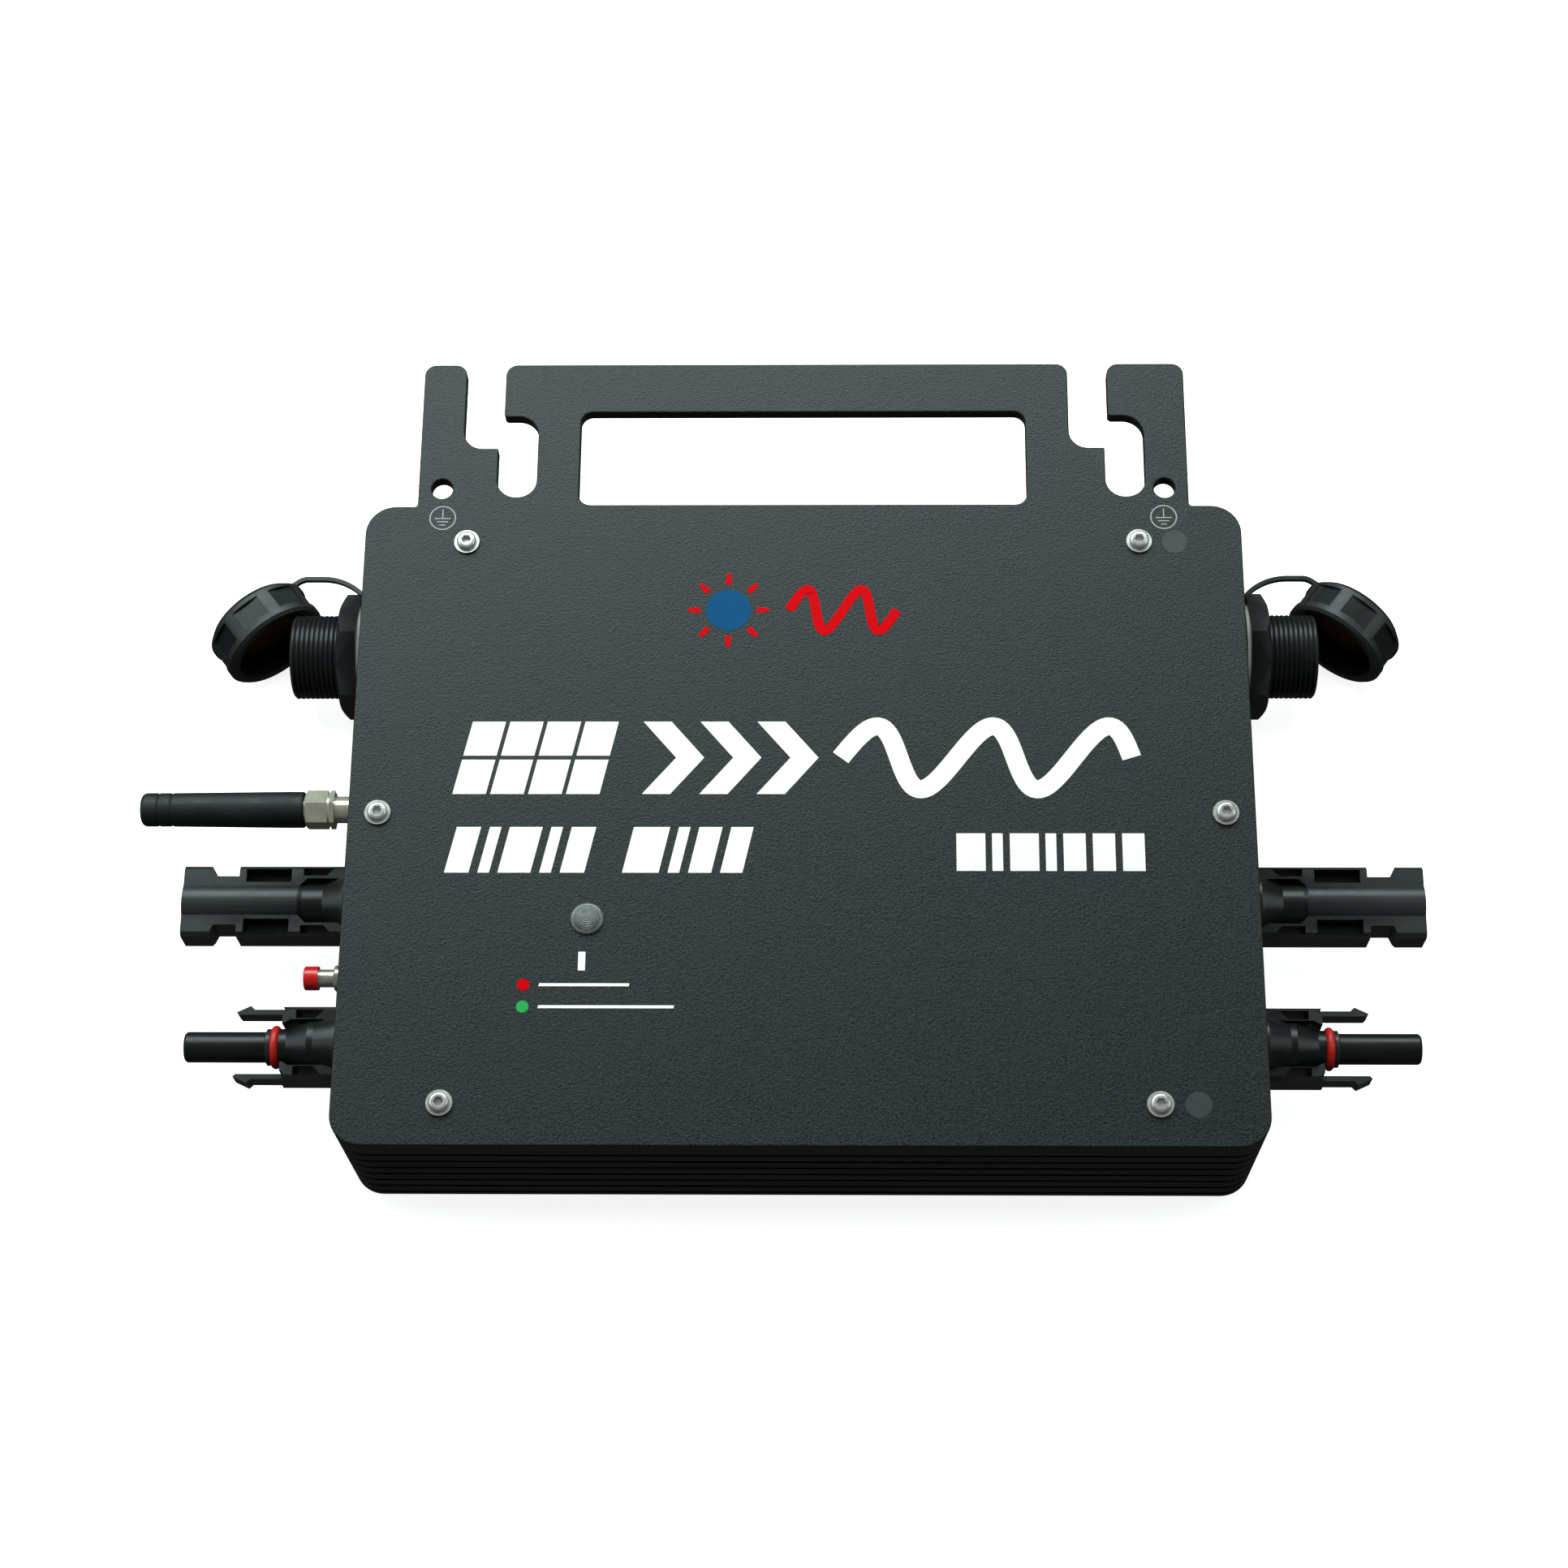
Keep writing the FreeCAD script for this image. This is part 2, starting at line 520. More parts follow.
def shape_feature(body, kind, sketch, length, side="One side", reverse=False):
    feature = body.newObject(f"PartDesign::{kind}", f"{body.Label}_{kind}")
    feature.Profile = sketch
    if length is None:
        feature.Type = "ThroughAll"
    else:
        bind(feature, "Length", length)
    feature.SideType = side
    feature.Reversed = reverse
    doc.recompute()
    return feature


def pad(body, sketch, length, side="One side", reverse=False):
    return shape_feature(body, "Pad", sketch, length, side, reverse)


def pocket(body, sketch, length, side="One side", reverse=False):
    """Cut a sketch into the body, and make sure that it did cut."""
    before = body.Shape.Volume
    feature = shape_feature(body, "Pocket", sketch, length, side, reverse)
    if body.Shape.Volume > before - 1e-6:
        raise ValueError(f"{feature.Label} of {body.Label} cuts nothing")
    return feature


def turn(body, profile, kind="Revolution"):
    """Turn a profile of (radius, height) corners round the body's own Z axis."""
    sketch = new_sketch(body, "XZ_Plane")
    draw_outline(sketch, profile)
    feature = body.newObject(f"PartDesign::{kind}", f"{body.Label}_{kind}")
    feature.Profile = sketch
    feature.ReferenceAxis = (origin_part(body, "Z_Axis"), [""])
    feature.Angle = 360
    doc.recompute()
    return feature


def turned_body(label, profile):
    body = new_body(label)
    turn(body, profile)
    return body


def repeat_along(body, feature, role, pitch, count):
    pattern = body.newObject("PartDesign::LinearPattern", f"{body.Label}_row")
    pattern.Originals = [feature]
    pattern.Direction = (origin_part(body, role), [""])
    bind(pattern, "Length", f"({pitch}) * ({count} - 1)")
    bind(pattern, "Occurrences", count)
    body.Tip = pattern
    doc.recompute()
    return pattern


def repeat_round(body, feature, count):
    pattern = body.newObject("PartDesign::PolarPattern", f"{body.Label}_ring")
    pattern.Originals = [feature]
    pattern.Axis = (origin_part(body, "Z_Axis"), [""])
    pattern.Angle = 360
    bind(pattern, "Occurrences", count)
    body.Tip = pattern
    doc.recompute()
    return pattern


def place(item, x="0", y="0", z="0", rotation=None):
    item.Placement = FreeCAD.Placement(Vector(), rotation or FreeCAD.Rotation())
    for axis, text in zip("xyz", (x, y, z)):
        bind(item, f"Placement.Base.{axis}", text)
    return item


def seat_on_wall(item, side, along):
    """Stand an item on a side wall, its +Z pointing out of the wall."""
    outward = FreeCAD.Rotation(Vector(0, 1, 0), 90 * side)
    return place(item, f"{side} * PlateWidth / 2", along, "AxisHeight", outward)


def copy_of(item, label):
    link = doc.addObject("App::Link", label)
    link.LinkedObject = item
    link.LinkTransform = False
    return link


def group(label, items):
    """Join separate solids that share a node."""
    compound = doc.addObject("Part::Compound", label)
    compound.Links = items
    return export(compound)


def box(label, width, depth, height, x="0", y="0", z="0"):
    """Make a block centred on x and y that stands on z."""
    item = doc.addObject("Part::Box", label)
    bind(item, "Length", width)
    bind(item, "Width", depth)
    bind(item, "Height", height)
    return place(item, f"{x} - ({width}) / 2", f"{y} - ({depth}) / 2", z)


def post(label, radius, height, x="0", y="0", z="0"):
    item = doc.addObject("Part::Cylinder", label)
    bind(item, "Radius", radius)
    bind(item, "Height", height)
    return place(item, x, y, z)


def boolean(kind, label, base, tool):
    item = doc.addObject(f"Part::{kind}", label)
    item.Base = base
    item.Tool = tool
    doc.recompute()
    return item


def round_edges(body, kind, size, is_wanted):
    """Fillet or chamfer the edges of the body's latest feature that a test picks out."""
    base = body.Tip
    names = [f"Edge{i}" for i, edge in enumerate(base.Shape.Edges, start=1) if is_wanted(edge)]
    if not names:
        raise ValueError(f"{body.Label} has no edge to dress")
    feature = body.newObject(f"PartDesign::{kind}", f"{body.Label}_{kind}")
    feature.Base = (base, names)
    bind(feature, "Radius" if kind == "Fillet" else "Size", size)
    doc.recompute()
    return feature


def at_height(height):
    level = value(height)
    return lambda edge: all(abs(v.Z - level) < 1e-4 for v in edge.Vertexes)


def beveled_section(width, thickness, bevel):
    """Corners of a block's section with its four edges beveled, thickness along X."""
    half_x, half_y = f"({thickness}) / 2", f"({width}) / 2"
    quarter = ((half_x, f"{half_y} - {bevel}"), (f"{half_x} - {bevel}", half_y))
    corners = []
    for sign_x, sign_y in ((1, 1), (-1, 1), (-1, -1), (1, -1)):
        turned_quarter = quarter if sign_x * sign_y > 0 else quarter[::-1]
        for x, y in turned_quarter:
            corners.append((f"{sign_x} * ({x})", f"{sign_y} * ({y})"))
    return corners


# ---------------------------------------------------------------- housing and cover
def ring_outline(sketch, outer_inset, inner_inset):
    """Draw two rounded rectangles, each set in from the outline of the housing."""
    for inset in (outer_inset, inner_inset):
        draw_centred(
            sketch,
            f"PlateWidth - 2 * ({inset})",
            f"PlateHeight - 2 * ({inset})",
            f"CornerRadius - ({inset})",
        )


def screw_places():
    places = [(f"{sx} * MiddleScrewSpread / 2", "0") for sx in (-1, 1)]
    for sx in (-1, 1):
        places += [(f"{sx} * ScrewSpreadX / 2", f"{sy} * ScrewSpreadY / 2") for sy in (-1, 1)]
    return places


def standoff_places():
    return [
        (f"{sx} * StandoffSpreadX / 2", f"{sy} * StandoffSpreadY / 2")
        for sx in (-1, 1)
        for sy in (-1, 1)
    ]


def draw_circles(sketch, places, radius):
    for x, y in places:
        draw_circle(sketch, x, y, radius)


def build_housing():
    body = new_body("heatsink_housing")
    outline = new_sketch(body, "XY_Plane")
    draw_centred(outline, "PlateWidth", "PlateHeight", "CornerRadius")
    pad(body, outline, "HousingDepth")

    cavity = new_sketch(body, "XY_Plane", "FloorThickness")
    draw_centred(
        cavity,
        "PlateWidth - 2 * WallThickness",
        "PlateHeight - 2 * WallThickness",
        "CornerRadius / 2",
    )
    pocket(body, cavity, "HousingDepth - FloorThickness", reverse=True)

    groove = new_sketch(body, "XY_Plane", "FirstGroove - RibGrooveWidth / 2")
    ring_outline(groove, "-CutterReach", "RibGrooveDepth")
    first = pocket(body, groove, "RibGrooveWidth", reverse=True)
    repeat_along(body, first, "Z_Axis", "RibPitch", "RibGrooveCount")

    bosses = new_sketch(body, "XY_Plane", "FloorThickness")
    draw_circles(bosses, screw_places(), "BossRadius")
    pad(body, bosses, "HousingDepth - FloorThickness")
    standoffs = new_sketch(body, "XY_Plane", "FloorThickness")
    draw_circles(standoffs, standoff_places(), "StandoffRadius")
    pad(body, standoffs, "StandoffHeight")

    seat = new_sketch(body, "XY_Plane", "HousingDepth")
    ring_outline(seat, "GasketInset", "GasketInset + GasketWidth")
    pocket(body, seat, "GasketThickness")
    screw_holes = new_sketch(body, "XY_Plane", "HousingDepth")
    draw_circles(screw_holes, screw_places(), "ScrewRadius + BossFit")
    pocket(body, screw_holes, "BossHoleDepth")
    board_holes = new_sketch(body, "XY_Plane", "FloorThickness + StandoffHeight")
    draw_circles(board_holes, standoff_places(), "ScrewRadius + BossFit")
    pocket(body, board_holes, "BoardScrewLength")

    both_walls = new_sketch(body, "YZ_Plane")
    draw_circle(both_walls, "AcPlace", "AxisHeight", "AcNeckRadius + FitGap")
    draw_circle(both_walls, "SocketPlace", "AxisHeight", "DcThreadRadius + FitGap")
    draw_circle(both_walls, "PlugPlace", "AxisHeight", "DcThreadRadius + FitGap")
    pocket(body, both_walls, None, side="Symmetric")
    left_wall = new_sketch(body, "YZ_Plane")
    draw_circle(left_wall, "AntennaPlace", "AxisHeight", "JackRadius + FitGap")
    draw_circle(left_wall, "ButtonPlace", "AxisHeight", "BushRadius + FitGap")
    pocket(body, left_wall, None)

    label_recess = new_sketch(body, "XY_Plane")
    draw_label(label_recess, "0")
    pocket(body, label_recess, "LabelRecess", reverse=True)
    export(body)


def draw_label(sketch, inset):
    draw_rectangle(
        sketch,
        f"-LabelWidth / 2 + {inset}", f"LabelPlace - LabelHeight / 2 + {inset}",
        f"LabelWidth / 2 - {inset}", f"LabelPlace + LabelHeight / 2 - {inset}",
        f"CornerRadius / 2 - {inset}",
    )


def build_label():
    body = new_body("rating_label")
    sketch = new_sketch(body, "XY_Plane", "LabelRecess - LabelThickness")
    draw_label(sketch, "LabelMargin")
    pad(body, sketch, "LabelThickness")
    export(body)


def hook_corners(centre):
    """Corners of one hook's slots, from the top edge on the right to the top on the left."""
    entry_left = f"{centre} - EntryWidth / 2"
    entry_right = f"{centre} + EntryWidth / 2"
    seat_left = f"{centre} - EntryWidth / 2 + SeatShift"
    seat_right = f"{seat_left} + SeatWidth"
    top = f"{SHOULDER} + HookHeight"
    return [
        (entry_right, top, "TabCornerRadius"),
        (entry_right, f"{SHOULDER} + LipHeight", "EdgeRadius"),
        (seat_right, f"{SHOULDER} + LipHeight", "LipRadius"),
        (seat_right, f"{SHOULDER} + SeatFloor", "SeatRadius"),
        (seat_left, f"{SHOULDER} + SeatFloor", "SeatRadius"),
        (seat_left, f"{SHOULDER} + EntryFloor", "EdgeRadius / 2"),
        (entry_left, f"{SHOULDER} + EntryFloor", "EntryRadius"),
        (entry_left, top, "TabCornerRadius"),
    ]


def build_cover_plate():
    top = f"{SHOULDER} + HookHeight"
    left_entry = "HookOffset - HookSpacing / 2 - SeatShift / 2"
    corners = [
        ("-PlateWidth / 2", "-PlateHeight / 2", "CornerRadius"),
        ("PlateWidth / 2", "-PlateHeight / 2", "CornerRadius"),
        ("PlateWidth / 2", SHOULDER, "CornerRadius"),
        ("TabWidth / 2", SHOULDER, "ShoulderFillet"),
        ("TabWidth / 2", top, "TabCornerRadius"),
    ]
    corners += hook_corners(f"{left_entry} + HookSpacing")
    corners += hook_corners(left_entry)
    corners += [
        ("-TabWidth / 2", top, "TabCornerRadius"),
        ("-TabWidth / 2", SHOULDER, "ShoulderFillet"),
        ("-PlateWidth / 2", SHOULDER, "CornerRadius"),
    ]
    body = new_body("cover_plate")
    outline = new_sketch(body, "XY_Plane", "HousingDepth")
    draw_outline(outline, corners)
    draw_rectangle(
        outline,
        "-HandleWidth / 2", f"{SHOULDER} + HandleLow",
        "HandleWidth / 2", f"{SHOULDER} + HandleHigh",
        "HandleRadius",
    )
    for side in (-1, 1):
        draw_circle(
            outline, f"{side} * EarthHoleSpacing / 2", f"{SHOULDER} + EarthHoleHeight",
            "EarthHoleRadius",
        )
    draw_circles(outline, screw_places(), "ScrewRadius + ScrewClearance")
    draw_circle(outline, "LensX", "LensY", "LensStemRadius + FitGap")
    pad(body, outline, "PlateThickness")
    round_edges(body, "Fillet", "PlateEdge", at_height(PLATE_TOP))
    dots = new_sketch(body, "XY_Plane", PLATE_TOP)
    draw_circles(dots, dot_places(), "DotRadius + FitGap")
    pocket(body, dots, "DotRecess")
    export(body)


def dot_places():
    return [("DotX", f"{side} * DotSpread / 2") for side in (-1, 1)]


def build_gasket():
    body = new_body("cover_gasket")
    sketch = new_sketch(body, "XY_Plane", "HousingDepth - GasketThickness")
    ring_outline(sketch, "GasketInset", "GasketInset + GasketWidth")
    pad(body, sketch, "GasketThickness")
    export(body)


def build_screw(label, head_radius, head_height, length, flange):
    """A socket screw standing on its head's underside, its shank pointing down."""
    body = turned_body(label, [
        ("0", f"-({length})"),
        ("ScrewRadius - SmallBevel", f"-({length})"),
        ("ScrewRadius", f"-({length}) + SmallBevel"),
        ("ScrewRadius", "0"),
        (head_radius, "0"),
        (head_radius, head_height),
        ("0", head_height),
    ])
    round_edges(body, "Fillet", f"({head_height}) * {HEAD_ROUND}", at_height(head_height))
    if flange:
        disc = new_sketch(body, "XY_Plane")
        draw_circle(disc, "0", "0", "ScrewFlangeRadius")
        pad(body, disc, "ScrewFlangeThickness")
    key = new_sketch(body, "XY_Plane", head_height)
    draw_hexagon(key, "ScrewKeySize")
    pocket(body, key, f"({head_height}) * {KEY_DEPTH}")
    return body


def build_cover_screws():
    screw = build_screw("cover_screw", "ScrewHeadRadius", "ScrewHeadHeight", "ScrewLength", True)
    screws = [
        place(copy_of(screw, f"cover_screw_{i}"), x, y, PLATE_TOP)
        for i, (x, y) in enumerate(screw_places(), start=1)
    ]
    group("cover_screws", screws)


def build_indicators():
    profile = [
        ("0", "-PlateThickness"),
        ("LensStemRadius", "-PlateThickness"),
        ("LensStemRadius", "0"),
        ("LensFlangeRadius", "0"),
        ("LensFlangeRadius", "LensFlangeThickness - SmallBevel"),
        ("LensFlangeRadius - SmallBevel", "LensFlangeThickness"),
    ]
    dome = "(LensDomeHeight - LensFlangeThickness)"
    profile += [
        (f"LensDomeRadius * {out}", f"LensFlangeThickness + {dome} * {up}")
        for out, up in DOME_SHARES
    ]
    lens = turned_body("led_lens", profile + [("0", "LensDomeHeight")])
    export(place(lens, "LensX", "LensY", PLATE_TOP))
    led_height = f"HousingDepth - LedGap - ({BOARD_TOP})"
    flange_top = f"{led_height} - LedLength"
    led = turned_body("status_led", [
        ("0", "0"),
        ("LedStalkRadius", "0"),
        ("LedStalkRadius", f"{flange_top} - LedFlangeThickness"),
        ("LedFlangeRadius", f"{flange_top} - LedFlangeThickness"),
        ("LedFlangeRadius", flange_top),
        ("LedRadius", flange_top),
        ("LedRadius", f"{led_height} - LedShoulder"),
        ("LedCrown", led_height),
        ("0", led_height),
    ])
    export(place(led, "LensX", "LensY", BOARD_TOP))
    dots = [
        post(f"dot_{i}", "DotRadius", "DotRecess + FitGap", x, y, f"{PLATE_TOP} - DotRecess")
        for i, (x, y) in enumerate(dot_places(), start=1)
    ]
    group("inspection_dots", dots)


# ---------------------------------------------------------------- AC sockets, caps and tethers
def build_ac_shell(label):
    body = turned_body(label, [
        ("0", "-AcTail"),
        ("AcNeckRadius", "-AcTail"),
        ("AcNeckRadius", HEX_START),
        ("AcThreadRadius", HEX_START),
        ("AcThreadRadius", f"{AC_MOUTH} - EndBevel"),
        ("AcThreadRadius - EndBevel", AC_MOUTH),
        ("0", AC_MOUTH),
    ])
    hexagon = new_sketch(body, "XY_Plane", HEX_START)
    draw_hexagon(hexagon, "AcHexFlats")
    pad(body, hexagon, "AcHexThickness")
    hex_top = f"{HEX_START} + AcHexThickness"
    turn(body, [
        ("AcHexFlats / 2", hex_top),
        (f"AcHexFlats * {HEX_REACH}", hex_top),
        (f"AcHexFlats * {HEX_REACH}", f"{hex_top} - AcHexFlats * {HEX_BEVEL}"),
    ], "Groove")
    first_crest = f"{hex_top} + AcThreadPitch"
    thread = turn(body, [
        ("AcThreadRoot", first_crest),
        ("AcThreadRadius + AcThreadReach", f"{first_crest} - AcThreadPitch * {THREAD_FLANK}"),
        ("AcThreadRadius + AcThreadReach", f"{first_crest} + AcThreadPitch * {THREAD_FLANK}"),
    ], "Groove")
    repeat_along(body, thread, "Z_Axis", "AcThreadPitch", "AcThreadTurns")
    mouth = new_sketch(body, "XY_Plane", AC_MOUTH)
    draw_circle(mouth, "0", "0", "AcBoreRadius")
    pocket(body, mouth, "AcBoreDepth + AcInsertLength")
    tail = new_sketch(body, "XY_Plane", "-AcTail")
    draw_circle(tail, "0", "0", "AcTailBore")
    pocket(body, tail, None, reverse=True)
    return body


def pin_places():
    places = []
    for step in range(AC_PIN_COUNT):
        angle = 2 * math.pi * step / AC_PIN_COUNT
        places.append((f"AcPinCircle * {math.cos(angle):.6f}", f"AcPinCircle * {math.sin(angle):.6f}"))
    return places


def build_ac_insert(label):
    body = new_body(label)
    face = f"{AC_MOUTH} - AcBoreDepth"
    disc = new_sketch(body, "XY_Plane", f"{face} - AcInsertLength")
    draw_circle(disc, "0", "0", "AcBoreRadius - FitGap")
    draw_circles(disc, pin_places(), "AcPinRadius + FitGap")
    pad(body, disc, "AcInsertLength")
    return body


def build_ac_pins(label, side):
    """Three pins that reach from the insert's back to just inside the mouth."""
    length = "AcInsertLength + AcPinLength"
    pins = []
    for i, (x, y) in enumerate(pin_places(), start=1):
        pin = turned_body(f"{label}_{i}", [
            ("0", "0"),
            ("AcPinRadius", "0"),
            ("AcPinRadius", f"{length} - EndBevel"),
            ("AcPinRadius - EndBevel", length),
            ("0", length),
        ])
        pins.append(place(pin, x, y, f"{AC_MOUTH} - AcBoreDepth - AcInsertLength"))
    seat_on_wall(group(label, pins), side, "AcPlace")


def build_nut(label, flats, thickness, bore, start):
    """A hexagon nut on the fitting's axis, its outer face at the given start."""
    body = new_body(label)
    sketch = new_sketch(body, "XY_Plane", start)
    draw_hexagon(sketch, flats)
    draw_circle(sketch, "0", "0", bore)
    pad(body, sketch, thickness)
    return body


def build_spacer():
    """The stepped washer that a tether turns on."""
    hub = f"{HEX_START} - SpacerDisc"
    return turned_body("spacer_washer", [
        ("AcNeckRadius + FitGap", "0"),
        ("SpacerHubRadius", "0"),
        ("SpacerHubRadius", hub),
        ("SpacerRadius", hub),
        ("SpacerRadius", HEX_START),
        ("AcNeckRadius + FitGap", HEX_START),
    ])


def cap_direction(side):
    """The way the cap's mouth faces: back towards the socket, forwards and a little up."""
    yaw = math.radians(value("CapYaw"))
    tilt = math.radians(value("CapTilt"))
    return Vector(
        -side * math.cos(yaw) * math.cos(tilt), -math.sin(yaw) * math.cos(tilt), math.sin(tilt)
    )


def at_cap_mouth(item, side):
    facing = FreeCAD.Rotation(Vector(0, 0, 1), cap_direction(side))
    return place(
        item, f"{side} * (PlateWidth / 2 + CapOut)", "AcPlace + CapForward", "CapMouthHeight", facing
    )


def build_cap(label):
    """A screw cap, its mouth at the origin and its closed end below with the tether's stud."""
    eye_room = "TetherEyeGap + TetherThickness + MoveGap"
    body = turned_body(label, [
        ("0", f"-CapLength - ({eye_room}) - CapStudHeadThickness"),
        ("CapStudHeadRadius - CapStudBevel", f"-CapLength - ({eye_room}) - CapStudHeadThickness"),
        ("CapStudHeadRadius", f"-CapLength - ({eye_room}) - CapStudHeadThickness + CapStudBevel"),
        ("CapStudHeadRadius", f"-CapLength - ({eye_room})"),
        ("CapStudRadius", f"-CapLength - ({eye_room})"),
        ("CapStudRadius", "-CapLength"),
        ("CapRadius - CapEdge", "-CapLength"),
        ("CapRadius", "-CapLength + CapEdge"),
        ("CapRadius", "-CapMouthBevel"),
        ("CapRadius - CapMouthBevel", "0"),
        ("0", "0"),
    ])
    mouth = new_sketch(body, "XY_Plane")
    draw_circle(mouth, "0", "0", "CapBoreRadius")
    pocket(body, mouth, "CapBoreDepth")
    panel = new_sketch(body, "XY_Plane", "-CapFlatStart")
    draw_rectangle(
        panel,
        "CapRadius - CapFlatDepth", "-CapFlatWidth / 2",
        "CapRadius + CutterReach", "CapFlatWidth / 2",
    )
    first = pocket(body, panel, "CapFlatLength")
    repeat_round(body, first, "CapFlatCount")
    return body


def swept_band(centre, start, angle, thickness, width):
    """A curved band: an upright section at start, turned about an upright axis at centre."""
    outward = (start - centre).normalize()
    low = start - outward * thickness / 2 - Vector(0, 0, width / 2)
    corners = [low, low + outward * thickness]
    corners += [corners[1] + Vector(0, 0, width), low + Vector(0, 0, width), low]
    section = Part.Face(Part.makePolygon(corners))
    return section.revolve(centre, Vector(0, 0, 1), angle)


def straight_band(start, end, thickness, width):
    """A straight upright band between two points at one height."""
    run = end - start
    across = Vector(-run.y, run.x, 0).normalize() * thickness / 2
    lift = Vector(0, 0, width / 2)
    corners = [start - across - lift, start + across - lift]
    corners += [start + across + lift, start - across + lift, start - across - lift]
    return Part.Face(Part.makePolygon(corners)).extrude(run)


def flat_ring(centre, axis, inner, outer, thickness):
    """A washer with its middle at centre."""
    foot = centre - axis * thickness / 2
    return Part.makeCylinder(outer, thickness, foot, axis).cut(
        Part.makeCylinder(inner, thickness, foot, axis)
    )


def build_tether(label, side):
    """One moulded piece: a ring on the socket, a bent strap, and an eye on the cap's stud."""
    thickness, width, gap = value("TetherThickness"), value("TetherWidth"), value("MoveGap")
    wall = side * value("PlateWidth") / 2
    along, height = value("AcPlace"), value("AxisHeight")
    outward = Vector(side, 0, 0)
    ring_x = wall + side * (gap + thickness / 2)
    ring = flat_ring(
        Vector(ring_x, along, height), outward,
        value("SpacerHubRadius") + gap, value("TetherRingRadius"), thickness,
    )
    facing = cap_direction(side)
    mouth = Vector(
        wall + side * value("CapOut"), along + value("CapForward"), value("CapMouthHeight")
    )
    eye_centre = mouth - facing * (value("CapLength") + value("TetherEyeGap") + thickness / 2)
    eye_bore = value("CapStudRadius") + gap
    eye = flat_ring(eye_centre, facing, eye_bore, value("TetherEyeRadius"), thickness)

    # first bend: a quarter turn from along the wall to straight out of it
    bend = value("TetherBend")
    root = Vector(ring_x, along + value("TetherStart"), eye_centre.z)
    first_centre = root + outward * bend
    crest = first_centre + Vector(0, bend, 0)
    parts = [ring, eye, swept_band(first_centre, root, -90 * side, thickness, width)]

    # second bend: on round until the strap heads for the eye, just past the cap's edge
    turn_angle = math.pi / 2 - math.radians(value("CapYaw"))
    heading = Vector(side * math.cos(turn_angle), -math.sin(turn_angle), 0)
    bend_end = eye_centre - heading * (value("CapRadius") + value("TetherRunPast"))
    second_bend = (crest.y - bend_end.y) / (1 - math.cos(turn_angle))
    second_start = Vector(bend_end.x - side * second_bend * math.sin(turn_angle), crest.y, crest.z)
    second_centre = second_start - Vector(0, second_bend, 0)
    turn_degrees = -side * math.degrees(turn_angle)
    parts += [
        straight_band(crest, second_start, thickness, width),
        swept_band(second_centre, second_start, turn_degrees, thickness, width),
        straight_band(bend_end, eye_centre - heading * (eye_bore + thickness), thickness, width),
    ]
    strap = doc.addObject("Part::Feature", label)
    strap.Shape = parts[0].multiFuse(parts[1:]).removeSplitter()
    export(strap)


def build_ac_side(name, side):
    export(seat_on_wall(build_ac_shell(f"ac_socket_shell_{name}"), side, "AcPlace"))
    export(seat_on_wall(build_ac_insert(f"ac_socket_insert_{name}"), side, "AcPlace"))
    build_ac_pins(f"ac_socket_pins_{name}", side)
    build_tether(f"cap_tether_{name}", side)
    export(at_cap_mouth(build_cap(f"cap_{name}"), side))
    seal = turned_body(f"cap_seal_{name}", [
        ("0", "-CapBoreDepth"),
        ("CapBoreRadius - FitGap", "-CapBoreDepth"),
        ("CapBoreRadius - FitGap", "-CapBoreDepth + CapSealThickness"),
        ("0", "-CapBoreDepth + CapSealThickness"),
    ])
    export(at_cap_mouth(seal, side))


